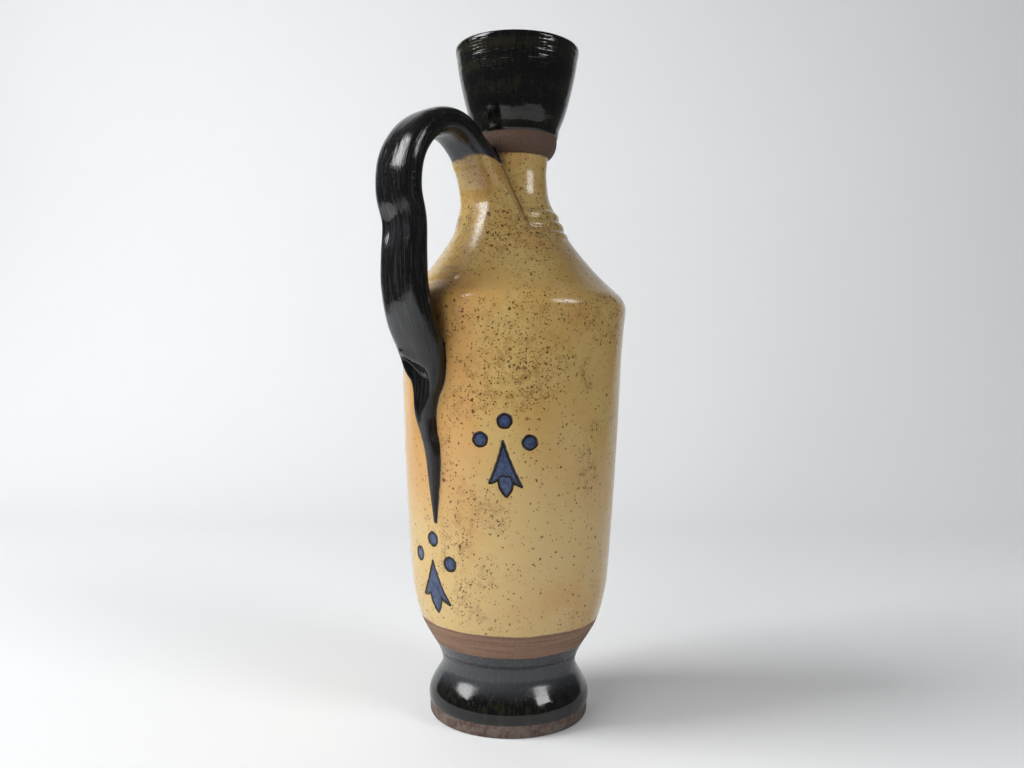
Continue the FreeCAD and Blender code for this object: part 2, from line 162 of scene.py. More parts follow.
def strapStations():
    # each row: outward, height, side step, half width, half thickness, squareness, width behind the ridge,
    # height of the ridge's corner, narrowing behind, how far the section stays level
    w = strap["halfWidth"]
    t = strap["halfThickness"]
    out = strap["reach"]
    top = strap["top"]
    rows = []
    # the root: height, how proud it stands, centre and half width as shares of the shoulder's radius
    root = ((204, -5.0, 0.22, 0.74), (213, -0.2, 0.22, 0.82), (221, 1.9, 0.27, 0.88), (230, 4.2, 0.36, 0.90))
    for z, proud, centre, width in root:
        r = radiusAt(z)
        rows.append((centre * r, z, 0, width * r, r + proud - centre * r, 2.1, 1, 0, 0, 1))
    # up the neck one side is a sharp ridge: its place as shares of the width and thickness, then the taper
    rows.append((6.0, 238, 0, 19.2, 20.6, 2.5, 0.99, 0.43, 0.20, 1))
    rows.append((8.0, 244, 0, 17.3, 16.9, 2.5, 0.94, 0.53, 0.40, 1))
    rows.append((11.0, 250, 0, 15.8, 14.5, 2.5, 0.86, 0.64, 0.45, 1))
    rows.append((17.0, 258.5, 0, 12.6, 13.2, 2.5, 0.97, 0.68, 0.60, 0.9))
    rows.append((23.0, 264.5, 0, 12.3, 9.4, 2.5, 0.95, 0.70, 0.55, 0.5))
    rows.append((31.3, top - 7.0, 0, 0.88 * w, 1.0 * t, 3, 1, 0.4, 0.1, 0.1))
    plain = (1, 0, 0, 0)
    rows.append((40.3, top - 1.3, 0, 0.88 * w, t, 3) + plain)
    rows.append((49.9, top, 0, 0.90 * w, t, 3) + plain)
    rows.append((out - 6.3, top - 5, 0, 0.96 * w, t, 3) + plain)
    rows.append((out + 2.2, top - 17, 0, w, t, 3) + plain)
    rows.append((out + 4, 245, 0, 0.98 * w, t, 3) + plain)
    rows.append((out + 1, 231, 0, w, 0.96 * t, 3) + plain)
    rows.append((out + 0.6, 217, 0, w, t, 3) + plain)
    rows.append((out - 0.2, 203, 0, 1.03 * w, t, 3) + plain)
    rows.append((out - 4.5, 188, 0.2, 1.07 * w, 1.05 * t, 2.8) + plain)
    rows.append((out - 9.6, 177, 0.0, 1.01 * w, 1.04 * t, 2.6) + plain)
    # the tail: height, side step, half width and thickness as shares of the strap's own
    tail = ((169, -0.9, 0.87, 0.95), (163, -1.6, 0.72, 0.85), (156, -0.5, 0.51, 0.72),
            (147.5, 0.6, 0.43, 0.60), (139.5, -0.9, 0.32, 0.50), (131, -3.0, 0.28, 0.44),
            (118, -3.3, 0.20, 0.34), (109, -2.9, 0.12, 0.24), (98, -2.3, 0.03, 0.08))
    for z, side, width, thick in tail:
        rows.append((radiusAt(z) + 0.35 * thick * t, z, side, width * w, thick * t, 2.3) + plain)
    return rows


def strapRing(row, turn):
    # one section across the strap, as places across it and out of it
    _, _, _, width, thick, power, taper, ahead, narrow, _ = row
    c, s = np.cos(turn), np.sin(turn)
    # the ridge is a sharp corner ahead of the middle, and the side behind it tapers in
    back = min(thick, 1.4 * strap["halfThickness"])
    corner = ahead * thick
    wide = np.where(c < 0, taper * width, width)
    square = np.where(s > 0, power, max(power, 3))
    blunt = np.where((c < 0) & (s > 0), 2 / square + ahead, 2 / square)
    x = np.sign(c) * np.abs(c) ** (2 / square) * wide
    rise = np.abs(s) ** blunt
    y = corner + rise * np.where(s > 0, thick - corner, -back - corner)
    return x * np.where(s < 0, 1 - narrow * rise, 1), y


def buildStrap():
    rows = spline(strapStations(), 1.0)
    # even steps along the centre line
    gaps = np.linalg.norm(np.diff(rows[:, :3], axis=0), axis=1)
    along = np.concatenate([[0], np.cumsum(gaps)])
    even = np.arange(0, along[-1], strap["step"])
    rows = np.stack([np.interp(even, along, rows[:, c]) for c in range(10)], 1)
    around = strap["around"]
    turn = 2 * math.pi * (np.arange(around) + 0.5) / around
    centres = np.stack([-rows[:, 0], rows[:, 2], rows[:, 1]], 1)
    runs = np.gradient(centres, axis=0)
    grid = np.zeros((len(rows), around, 3))
    for i, row in enumerate(rows):
        run = runs[i] / np.linalg.norm(runs[i])
        run = run * (1 - row[9]) + np.array([0, 0, 1.0]) * row[9]
        run = run / np.linalg.norm(run)
        across = np.array([0, 1.0, 0])
        across = across - run * across.dot(run)
        across /= np.linalg.norm(across)
        x, y = strapRing(row, turn)
        grid[i] = centres[i] + x[:, None] * across + y[:, None] * np.cross(run, across)
    dentStrap(grid, rows)
    shift = leanAt(grid[:, :, 2]) * math.sqrt(0.5)
    grid[:, :, 0] -= shift
    grid[:, :, 1] += shift
    thing = meshObject("strap", grid.reshape(-1, 3), gridFaces(len(rows), around))
    return thing, np.repeat(even, around), np.tile(turn, len(rows))


# the fold where a fingertip was pressed in: its edge as side and height, its depth, the thumb's dent above
fold = {
    "edge": [(9.8, 173), (5.6, 172.4), (0.6, 169.6), (-4.2, 168.0), (-7.2, 164.8), (-7.6, 160), (-5.8, 154.5),
             (-1.6, 149.6), (0.6, 144), (1.8, 138), (2.8, 144), (4.0, 152), (5.2, 160), (7.4, 167)],
    "from": 0.4, "top": 170, "bottom": 140, "depth": 4.6, "soft": 1.6, "bead": 1.4, "beadWidth": 1.4,
    "even": 2, "thumbFall": 1.8,
    "thumb": {"height": 230, "side": 4.0, "high": 7.0, "low": 15.0, "wide": 8.5, "depth": 2.9},
}


def dentStrap(grid, rows):
    # presses the fold and the thumb's dent into the strap's outer side, then evens them a little
    edge = spline(fold["edge"] + fold["edge"][:1], 1.0)[:-1]
    thumb = fold["thumb"]
    inward = np.zeros(grid.shape[:2])
    for i in range(int(len(rows) * fold["from"]), len(rows)):
        p = grid[i]
        outer = ease(-p[:, 0] - rows[i, 0], -0.5, 2.5)
        d = loopDistance(p[:, 1:3], edge)
        share = 0.25 + 0.75 * ease(p[:, 2], fold["bottom"], fold["top"])
        sink = fold["depth"] * share * (1 - np.exp(-np.clip(-d, 0, 9) / fold["soft"]))
        bead = fold["bead"] * np.exp(-((d - 0.9) / fold["beadWidth"]) ** 2)
        bead *= ease(p[:, 2], 158, 169) * ease(p[:, 1], -4, 4) * (1 - ease(p[:, 1], 8, 11))
        across = (p[:, 1] - thumb["side"]) / thumb["wide"]
        rise = p[:, 2] - thumb["height"]
        dist = across**2 + np.where(rise > 0, rise / thumb["high"], rise / thumb["low"])**2
        dent = thumb["depth"] * np.exp(-fold["thumbFall"] * dist)
        inward[i] = (sink - bead + dent) * outer
    for _ in range(fold["even"]):
        inward = (np.roll(inward, 1, 1) + 2 * inward + np.roll(inward, -1, 1)) / 4
        inward[1:-1] = (inward[:-2] + 2 * inward[1:-1] + inward[2:]) / 4
    grid[:, :, 0] += inward


def loopDistance(points, loop):
    # signed distance to a closed loop, negative inside
    best = np.full(len(points), 1e9)
    inside = np.zeros(len(points), bool)
    for a, b in zip(loop, np.roll(loop, -1, axis=0)):
        ab = b - a
        t = np.clip(((points - a) @ ab) / max(ab @ ab, 1e-9), 0, 1)
        best = np.minimum(best, np.linalg.norm(points - a - t[:, None] * ab, axis=1))
        crosses = (a[1] > points[:, 1]) != (b[1] > points[:, 1])
        rise = b[1] - a[1] if abs(b[1] - a[1]) > 1e-9 else 1e-9
        inside ^= crosses & (points[:, 0] < a[0] + (points[:, 1] - a[1]) / rise * (b[0] - a[0]))
    return np.where(inside, -best, best)


print("shapes: turned form and strap")
body = buildTurned()
strapPiece, strapAlong, strapTurn = buildStrap()


def faceOutward(thing):
    bm = bmesh.new()
    bm.from_mesh(thing.data)
    bmesh.ops.recalc_face_normals(bm, faces=bm.faces)
    bm.to_mesh(thing.data)
    bm.free()


faceOutward(body)
faceOutward(strapPiece)


def treeOf(thing):
    # what signedDistance needs of a piece: its search tree, points, normals and triangles
    mesh = thing.data
    verts = [v.co.copy() for v in mesh.vertices]
    normals = [v.normal.copy() for v in mesh.vertices]
    bm = bmesh.new()
    bm.from_mesh(mesh)
    bmesh.ops.triangulate(bm, faces=bm.faces)
    faces = [tuple(v.index for v in f.verts) for f in bm.faces]
    bm.free()
    return BVHTree.FromPolygons(verts, faces), verts, normals, faces


def signedDistance(tree, p):
    # distance to a piece's skin, negative inside, with the smooth normal there and the triangle it lies on
    bvh, verts, normals, faces = tree
    near, flat, index, gap = bvh.find_nearest(p)
    tri = faces[index]
    corners = [verts[k] for k in tri]
    weights = poly_3d_calc(corners, near)
    n = Vector((0, 0, 0))
    for k, weight in zip(tri, weights):
        n += normals[k] * weight
    n.normalize()
    side = 1 if (p - near).dot(flat + n) >= 0 else -1
    return side * gap, n, tri, weights


bodyTree = treeOf(body)
strapTree = treeOf(strapPiece)

join = body.modifiers.new("join", "BOOLEAN")
join.operation = "UNION"
join.solver = "EXACT"
join.object = strapPiece
graph = bpy.context.evaluated_depsgraph_get()
joined = bpy.data.meshes.new_from_object(body.evaluated_get(graph))
body.modifiers.clear()
jug = bpy.data.objects.new("jugClay", joined)
bpy.context.scene.collection.objects.link(jug)
bpy.data.objects.remove(body)
bpy.data.objects.remove(strapPiece)
print("joined", len(joined.vertices), "points")


# ermine spots, pressed in: each has its place on the wall and its corners from the lowest tip, across and up
spots = {
    "high": {"angle": -138.0, "height": 112.3, "apex": (-1.2, 24.2), "leftTip": (-7.0, 5.8),
             "rightTip": (7.2, 4.4), "lowTip": (0.6, 0.0), "leftNotch": (-3.0, 7.6), "rightNotch": (3.2, 7.0),
             "leafTop": (-0.2, 8.9), "dots": [(-0.6, 33.0), (-11.2, 24.7), (10.4, 23.7)]},
    "low": {"angle": -179.5, "height": 56.0, "apex": (-1.6, 23.9), "leftTip": (-9.4, 7.2),
            "rightTip": (7.8, 5.0), "lowTip": (-0.6, 0.0), "leftNotch": (-4.4, 8.6), "rightNotch": (2.6, 7.6),
            "leafTop": None, "dots": [(-1.0, 34.0), (-11.8, 25.6), (9.0, 23.9)]},
    "bends": (0.5, -0.4, -0.9, -0.9, -0.4, 0.5), "leafBend": 0.9, "dotRadius": 2.95,
    "lineWidth": 1.1, "leafLine": 0.6, "lineDepth": 0.45, "fillDepth": 0.22,
    "nearTurn": 0.6, "nearBelow": 8, "nearAbove": 48, "nearRadius": 30,
}
farAway = 9.0  # distances in millimetres are kept up to this


def arcThrough(a, b, c, count=12):
    # points on the circle through a, b and c, from a to c
    a, b, c = (np.array(p, float) for p in (a, b, c))
    d = 2 * (a[0] * (b[1] - c[1]) + b[0] * (c[1] - a[1]) + c[0] * (a[1] - b[1]))
    if abs(d) < 1e-9:
        return np.array([a + (c - a) * k / count for k in range(count)])
    ux = ((a @ a) * (b[1] - c[1]) + (b @ b) * (c[1] - a[1]) + (c @ c) * (a[1] - b[1])) / d
    uy = ((a @ a) * (c[0] - b[0]) + (b @ b) * (a[0] - c[0]) + (c @ c) * (b[0] - a[0])) / d
    centre = np.array([ux, uy])
    r = np.linalg.norm(a - centre)
    first, mid, last = (math.atan2(*(p - centre)[::-1]) for p in (a, b, c))
    if ((mid - first) % (2 * math.pi)) < ((last - first) % (2 * math.pi)):
        span = (last - first) % (2 * math.pi)
    else:
        span = -((first - last) % (2 * math.pi))
    angles = first + span * np.arange(count) / count
    return centre + r * np.stack([np.cos(angles), np.sin(angles)], 1)


def between(a, b, sideways):
    # the middle of a and b, moved sideways
    a, b = np.array(a), np.array(b)
    return (a + b) / 2 + np.array([a[1] - b[1], b[0] - a[0]]) / np.linalg.norm(b - a) * sideways


def tailOutline(spot):
    corners = [spot[n] for n in ("apex", "leftTip", "leftNotch", "lowTip", "rightNotch", "rightTip")]
    runs = zip(corners, corners[1:] + corners[:1], spots["bends"])
    return np.vstack([arcThrough(a, between(a, b, bend), b) for a, b, bend in runs])


def leafLine(spot):
    # the inner line that marks a small leaf at the foot of the tail
    a, b, top = spot["leftNotch"], spot["rightNotch"], spot["leafTop"]
    bend = spots["leafBend"]
    return np.vstack([arcThrough(a, between(a, top, bend), top), arcThrough(top, between(top, b, bend), b)])


def distanceTo(points, line):
    best = np.full(len(points), 99.0)
    for a, b in zip(line[:-1], line[1:]):
        ab = b - a
        t = np.clip(((points - a) @ ab) / max(ab @ ab, 1e-9), 0, 1)
        best = np.minimum(best, np.linalg.norm(points - a - t[:, None] * ab, axis=1))
    return best


def spotDistance(co):
    # millimetres to the nearest line of an ermine spot, negative inside
    best = np.full(len(co), farAway)
    for name in ("high", "low"):
        spot = spots[name]
        turnBy = np.arctan2(co[:, 1], co[:, 0]) - math.radians(spot["angle"])
        turnBy = (turnBy + math.pi) % (2 * math.pi) - math.pi
        radius = np.hypot(co[:, 0], co[:, 1])
        flat = np.stack([np.sin(turnBy) * radius, co[:, 2] - spot["height"]], 1)
        near = (np.abs(turnBy) < spots["nearTurn"]) & (radius > spots["nearRadius"])
        near &= (flat[:, 1] > -spots["nearBelow"]) & (flat[:, 1] < spots["nearAbove"])
        pts = flat[near]
        if not len(pts):
            continue
        # a hand-cut line is never quite even
        shaken = pts + 0.07 * np.sin(pts[:, ::-1] * 1.9) + 0.04 * np.sin(pts[:, ::-1] * 4.3 + 1)
        d = loopDistance(shaken, tailOutline(spot))
        for x, y in spot["dots"]:
            d = np.minimum(d, np.hypot(shaken[:, 0] - x, shaken[:, 1] - y) - spots["dotRadius"])
        if spot["leafTop"]:
            leaf = distanceTo(shaken, leafLine(spot))
            d = np.where((d < 0) & (leaf < spots["leafLine"]), np.maximum(d, -leaf), d)
        best[near] = np.minimum(best[near], d)
    return best


def coords(mesh):
    co = np.zeros(len(mesh.vertices) * 3, np.float64)
    mesh.vertices.foreach_get("co", co)
    return co.reshape(-1, 3)


# finer mesh round the spots
finer = {"merge": 0.08, "near": 1.6, "longest": 0.55, "rounds": 3}


def refineSpots(mesh):
    bm = bmesh.new()
    bm.from_mesh(mesh)
    bmesh.ops.remove_doubles(bm, verts=bm.verts, dist=finer["merge"])
    bm.verts.index_update()
    for _ in range(finer["rounds"]):
        bm.verts.ensure_lookup_table()
        near = spotDistance(np.array([v.co for v in bm.verts])) < finer["near"]
        edges = [e for e in bm.edges if near[e.verts[0].index] and near[e.verts[1].index]
                 and e.calc_length() > finer["longest"]]
        if not edges:
            break
        bmesh.ops.subdivide_edges(bm, edges=edges, cuts=1, use_grid_fill=True)
        bm.verts.index_update()
    bmesh.ops.triangulate(bm, faces=[f for f in bm.faces if len(f.verts) > 4])
    bm.to_mesh(mesh)
    bm.free()


refineSpots(jug.data)
print("refined", len(jug.data.vertices), "points", len(jug.data.polygons), "faces")

# the soft joint between strap and body; places are heights and distances out along the handle
fillet = {
    "radius": 1.5, "crease": 0.5, "rootRadius": 6.0, "rootFrom": 240.0, "rootTo": 226.0, "reach": 6.0,
    "limbFrom": 45, "rootAbove": 200, "creaseBeside": 8, "creaseAbove": 231, "steps": 3,
    "inward": 12, "sideways": 40, "low": 90, "high": 285,
}


def filletAt(p):
    # small where the strap and its tail lie on the wall, wide where the root dies into the shoulder
    if p.x < -fillet["limbFrom"] or p.z < fillet["rootAbove"]:
        return fillet["radius"]
    if p.y < -fillet["creaseBeside"] and p.z > fillet["creaseAbove"]:
        return fillet["crease"]
    share = float(ease(p.z, fillet["rootTo"], fillet["rootFrom"]))
    return fillet["rootRadius"] + (fillet["radius"] - fillet["rootRadius"]) * share


def onStrap(tri, weights):
    # how far along and round the strap a point of its skin lies; the last column joins the first
    along = sum(strapAlong[v] * w for v, w in zip(tri, weights))
    places = [strapTurn[v] for v in tri]
    if max(places) - min(places) > math.pi:
        places = [place + 2 * math.pi if place < math.pi else place for place in places]
    return along, sum(place * w for place, w in zip(places, weights))


def settle(p, k, strapSide, bodySide):
    # moves a point onto the rounded union of both skins, k is the width of the rounding
    for _ in range(fillet["steps"]):
        (dS, nS, _, _), (dB, nB, _, _) = strapSide, bodySide
        h = min(max(0.5 + 0.5 * (dB - dS) / k, 0), 1)
        gap = dB * (1 - h) + dS * h - k * h * (1 - h)
        p = p - (nB * (1 - h) + nS * h).normalized() * gap
        strapSide = signedDistance(strapTree, p)
        bodySide = signedDistance(bodyTree, p)
    return p


def roundJoint(mesh):
    # gives each point its distance to the strap and to the joint, and rounds the joint
    co = coords(mesh)
    toStrap = np.full(len(co), farAway)
    toJoint = np.full(len(co), farAway)
    along = np.zeros(len(co))
    turn = np.zeros(len(co))
    beside = (co[:, 0] < fillet["inward"]) & (np.abs(co[:, 1]) < fillet["sideways"])
    for i in np.nonzero(beside & (co[:, 2] > fillet["low"]) & (co[:, 2] < fillet["high"]))[0]:
        p = Vector(co[i])
        strapSide = signedDistance(strapTree, p)
        toStrap[i] = min(strapSide[0], farAway)
        along[i], turn[i] = onStrap(strapSide[2], strapSide[3])
        if abs(strapSide[0]) > fillet["reach"]:
            continue
        bodySide = signedDistance(bodyTree, p)
        if abs(bodySide[0]) > fillet["reach"]:
            continue
        toJoint[i] = abs(strapSide[0]) + abs(bodySide[0])
        if toJoint[i] <= 2 * filletAt(p):
            co[i] = settle(p, filletAt(p), strapSide, bodySide)
    mesh.vertices.foreach_set("co", co.ravel())
    mesh.update()
    return toStrap, along, turn, toJoint


toStrap, along, turn, toJoint = roundJoint(jug.data)
print("joint rounded")


def pressSpots(mesh):
    # sinks the lines and, less deep, what they enclose
    co = coords(mesh)
    d = spotDistance(co)
    half = spots["lineWidth"] / 2
    line = np.clip(1 - np.abs(d) / half, 0, 1)
    groove = spots["lineDepth"] * line * line * (3 - 2 * line)
    inside = spots["fillDepth"] * ease(-d, -0.2, 0.7)
    sink = np.maximum(groove, inside)
    radial = co[:, :2] / np.maximum(np.hypot(co[:, 0], co[:, 1]), 1)[:, None]
    co[:, :2] -= radial * sink[:, None]
    mesh.vertices.foreach_set("co", co.ravel())
    mesh.update()
    return d


spotGap = pressSpots(jug.data)


def keepValue(mesh, name, values):
    layer = mesh.attributes.new(name, "FLOAT", "POINT")
    layer.data.foreach_set("value", np.array(values, np.float32))


keepValue(jug.data, "toStrap", toStrap)
keepValue(jug.data, "alongStrap", along)
keepValue(jug.data, "roundStrap", turn)
keepValue(jug.data, "toSpot", spotGap)
keepValue(jug.data, "toJoint", toJoint)
jug.data.transform(Matrix.Scale(unit, 4))
jug.data.update()
smooth(jug)
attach(jug, "root")
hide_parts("jug")


# shader maths
class Link:
    # wraps a socket, so that a material is written as sums of links and numbers

    def __init__(self, socket):
        self.socket = socket

    @staticmethod
    def node(tree, kind, settings, sockets, out=0):
        # adds a node: its settings first, then the values or links of its sockets, by name or number
        made = tree.nodes.new("ShaderNode" + kind)
        for name, value in settings.items():
            setattr(made, name, value)
        for name, value in sockets.items():
            slot = made.inputs[name]
            if isinstance(value, Link):
                tree.links.new(value.socket, slot)
            elif slot.type == "RGBA":
                slot.default_value = value + (1,)
            else:
                slot.default_value = value
        return Link(made.outputs[out]) if made.outputs else None

    def output(self, index):
        # another output of the same node
        return Link(self.socket.node.outputs[index])

    def math(self, operation, *values):
        return Link.node(self.socket.id_data, "Math", {"operation": operation}, dict(enumerate(values)))

    def __add__(self, other):
        return self.math("ADD", self, other)

    def __radd__(self, other):
        return self.math("ADD", other, self)

    def __sub__(self, other):
        return self.math("SUBTRACT", self, other)

    def __rsub__(self, other):
        return self.math("SUBTRACT", other, self)

    def __mul__(self, other):
        return self.math("MULTIPLY", self, other)

    def __rmul__(self, other):
        return self.math("MULTIPLY", other, self)

    def __truediv__(self, other):
        return self.math("DIVIDE", self, other)

    def __rtruediv__(self, other):
        return self.math("DIVIDE", other, self)

    def __abs__(self):
        return self.math("ABSOLUTE", self)

    def above(self, other):
        return self.math("MAXIMUM", self, other)

    def step(self, low, high):
        # 0 below low, 1 above high, smooth between
        settings = {"interpolation_type": "SMOOTHSTEP"}
        return Link.node(self.socket.id_data, "MapRange", settings, {0: self, 1: low, 2: high})

    def border(self, place, soft=0.3):
        # 0 before a border, 1 past it
        return self.step(place - soft, place + soft)


def mixColour(factor, first, second):
    sockets = {0: factor, 6: first, 7: second}
    return Link.node(factor.socket.id_data, "Mix", {"data_type": "RGBA"}, sockets, 2)


def mixNumber(factor, first, second):
    sockets = {0: factor, 2: first, 3: second}
    return Link.node(factor.socket.id_data, "Mix", {"data_type": "FLOAT"}, sockets)


def vectorMath(tree, operation, first, second, out=0):
    return Link.node(tree, "VectorMath", {"operation": operation}, {0: first, 1: second}, out)


def readSurface(tree):
    # what the glaze functions share: the place in millimetres, the values kept on the mesh, slow noises
    here = SimpleNamespace(tree=tree)
    place = Link.node(tree, "TexCoord", {}, {}, 3)
    here.mm = vectorMath(tree, "MULTIPLY", place, (1 / unit, 1 / unit, 1 / unit))
    here.x = Link.node(tree, "SeparateXYZ", {}, {0: here.mm})
    here.y = here.x.output(1)
    here.z = here.x.output(2)
    here.toStrap = attribute(here, "toStrap")
    here.toSpot = attribute(here, "toSpot")
    here.toJoint = attribute(here, "toJoint")
    here.alongStrap = attribute(here, "alongStrap")
    here.roundStrap = attribute(here, "roundStrap")
    here.wander = noise(here, 0.06) * 2 - 1
    here.fineWander = noise(here, 0.5) * 2 - 1
    return here


def attribute(here, name):
    settings = {"attribute_name": name, "attribute_type": "GEOMETRY"}
    return Link.node(here.tree, "Attribute", settings, {}, 2)


def noise(here, scale, detail=3.0, rough=0.5, where=None, stretch=None):
    where = where or here.mm
    if stretch:
        where = vectorMath(here.tree, "MULTIPLY", where, stretch)
    return Link.node(here.tree, "TexNoise", {},
                     {"Vector": where, "Scale": scale, "Detail": detail, "Roughness": rough})


# heights in millimetres where one glaze ends and the next begins, and how far their borders wander
borders = {
    "cup": 277.8, "collar": 267.9, "honey": 48.5, "foot": 36.3, "footClay": 6.1, "root": 263.5,
    "limb": (41, 44), "onStrap": 0.5, "wander": 1.0, "fineWander": 0.35, "rootWander": 2.2,
}


def markGlazes(here):
    # masks that are 1 where each glaze lies; black runs down the root of the handle to a slanted edge
    slow, fine = here.wander, here.fineWander
    here.cup = here.z.border(borders["cup"])
    here.foot = ((1 - (here.z + slow * 0.4).border(borders["foot"]))
                 * (here.z + fine * 0.3).border(borders["footClay"]))
    onStrap = 1 - (here.toStrap + fine * borders["fineWander"] - borders["onStrap"]).step(-0.3, 0.5)
    here.limb = (here.x * -1).step(*borders["limb"])
    rootEdge = (here.z + slow * borders["rootWander"]).border(borders["root"], 0.8)
    here.strap = onStrap * here.limb.above(rootEdge)
    here.black = here.cup.above(here.foot).above(here.strap)
    level = here.z + slow * borders["wander"] + fine * borders["fineWander"]
    glazed = level.border(borders["honey"]) * (1 - here.z.border(borders["collar"], 0.25))
    here.honey = glazed * (1 - here.strap)
    here.glossy = here.honey.above(here.black)


# honey glaze: cloudy ochre, orange beside the strap and in soft patches, paler low down as painted bounce
# light from the table
honey = {
    "plain": (0.440, 0.272, 0.082), "pale": (0.475, 0.335, 0.122), "deep": (0.460, 0.240, 0.072),
    "paintedBounce": (0.510, 0.362, 0.155), "brown": (0.165, 0.080, 0.022), "speck": (0.072, 0.024, 0.007),
    "rust": (0.150, 0.050, 0.020), "paintedBounceBelow": (60, 165), "driftAt": (-34, -40, 168), "driftReach": (12, 27),
    "haze": 0.60, "shake": 1.7,
}
# iron specks: cells per millimetre, size in cells, share of cells that hold one, how much more in the drifts
specks = (
    {"scale": 0.13, "size": 0.16, "share": 0.05, "more": 0.14},
    {"scale": 0.28, "size": 0.21, "share": 0.06, "more": 0.24},
    {"scale": 0.60, "size": 0.31, "share": 0.08, "more": 0.40},
    {"scale": 1.20, "size": 0.44, "share": 0.10, "more": 0.50},
)


def ironDensity(here):
    # loose drifts, one thick drift high on the front, the shoulder, and the wall under its edge
    loose = noise(here, 0.036, 3, 0.6).step(0.50, 0.66) * 0.8
    toDrift = vectorMath(here.tree, "DISTANCE", here.mm, honey["driftAt"], 1)
    front = 1 - (toDrift + here.wander * 8).step(*honey["driftReach"])
    shoulder = (here.z + here.wander * 14).step(200, 232) * (1 - here.z.step(236, 248) * 0.65)
    underEdge = (here.z + here.wander * 8).step(176, 190) * (1 - here.z.step(194, 203)) * 0.6
    return loose.above(front).above(shoulder).above(underEdge)


def speckMask(here, shaken, density):
    found = None
    for layer in specks:
        sockets = {"Vector": shaken, "Scale": layer["scale"]}
        cell = Link.node(here.tree, "TexVoronoi", {"feature": "F1"}, sockets)
        chance = Link.node(here.tree, "SeparateColor", {}, {0: cell.output(1)})
        own = chance.output(1)
        keep = 1 - (chance - density * layer["more"]).border(layer["share"], 0.01)
        radius = own * layer["size"] * 0.8 + layer["size"] * 0.35
        dot = (1 - (cell / radius).step(0.78, 1.22)) * keep * (own * 0.35 + 0.65)
        found = found.above(dot) if found else dot
    return found


def honeyGlaze(here):
    clouds = noise(here, 0.022, 4, 0.55).step(0.38, 0.62)
    colour = mixColour(clouds, honey["plain"], honey["pale"])
    # painted light: the wall is paler low down, as if lit by the table below
    low = 1 - (here.z + here.wander * 18).step(*honey["paintedBounceBelow"])
    colour = mixColour(low * 0.85, colour, honey["paintedBounce"])
    besideStrap = (here.x * -1 + here.wander * 9).step(37, 50) * here.z.step(90, 120) * 0.75
    patches = noise(here, 0.03, 3, 0.55).step(0.50, 0.70) * 0.45
    colour = mixColour(patches.above(besideStrap), colour, honey["deep"])
    density = ironDensity(here)
    haze = noise(here, 0.22, 4, 0.7).step(0.42, 0.72) * density
    colour = mixColour(haze * honey["haze"], colour, honey["brown"])
    rightShoulder = ((here.x - here.y + here.wander * 16).step(8, 60)
                     * (here.z + here.wander * 6).step(198, 212) * 0.40)
    colour = mixColour(rightShoulder, colour, honey["brown"])
    # the cells are shaken, so that no speck is round or in a row
    shake = Link.node(here.tree, "TexNoise", {}, {"Vector": here.mm, "Scale": 0.9, "Detail": 2.0}, 1)
    sockets = {0: shake, 1: (honey["shake"],) * 3, 2: here.mm}
    shaken = Link.node(here.tree, "VectorMath", {"operation": "MULTIPLY_ADD"}, sockets)
    here.specks = speckMask(here, shaken, density)
    colour = mixColour(here.specks * 0.95, colour, honey["speck"])
    # painted shade: the glaze is darkened in the crease beside the ridge, where the neck lies in shade
    here.crease = (1 - here.toJoint.step(0.2, 1.1)) * here.z.step(231, 236)
    colour = mixColour(here.crease * 0.75, colour, honey["brown"])
    rare = Link.node(here.tree, "TexVoronoi", {"feature": "F1"}, {"Vector": shaken, "Scale": 0.035})
    return mixColour((1 - rare.step(0.035, 0.075)) * 0.7, colour, honey["rust"])


# bare clay: darker brown at the collar, partly its own clay and partly painted shade under the cup, redder
# and turned in fine lines below, grey where the foot was wiped
clay = {
    "plain": (0.125, 0.070, 0.047), "dark": (0.062, 0.034, 0.024), "warm": (0.255, 0.150, 0.098),
    "grey": (0.120, 0.092, 0.076), "warmBelow": (60, 70), "greyBelow": (15, 20),
}


def bareClay(here):
    here.grain = noise(here, 1.6, 4, 0.7)
    here.turning = noise(here, 0.55, 3, 0.65, stretch=(0.04, 0.04, 1))
    # partly painted shade: the collar's clay is darker, as if under the cup's shade
    collar = mixColour(here.grain.step(0.3, 0.75), clay["dark"], clay["plain"])
    low = mixColour((here.grain * 0.5 + here.turning * 0.5).step(0.35, 0.62), clay["plain"], clay["warm"])
    wiped = mixColour(noise(here, 0.3, 4, 0.7).step(0.4, 0.65), clay["grey"], clay["dark"])
    colour = mixColour(1 - here.z.step(*clay["warmBelow"]), collar, low)
    return mixColour(1 - here.z.step(*clay["greyBelow"]), colour, wiped)


# black glaze: olive brown where it runs thin, blue where it lies over honey, lightened to grey on the upper
# foot as a painted reflection of the table
black = {
    "plain": (0.0030, 0.0030, 0.0032), "thin": (0.017, 0.016, 0.008), "blue": (0.018, 0.022, 0.038),
    "grey": (0.042, 0.044, 0.050), "paintedSheenFrom": (15, 24), "strokesRound": 12, "strokesAlong": 0.06,
}


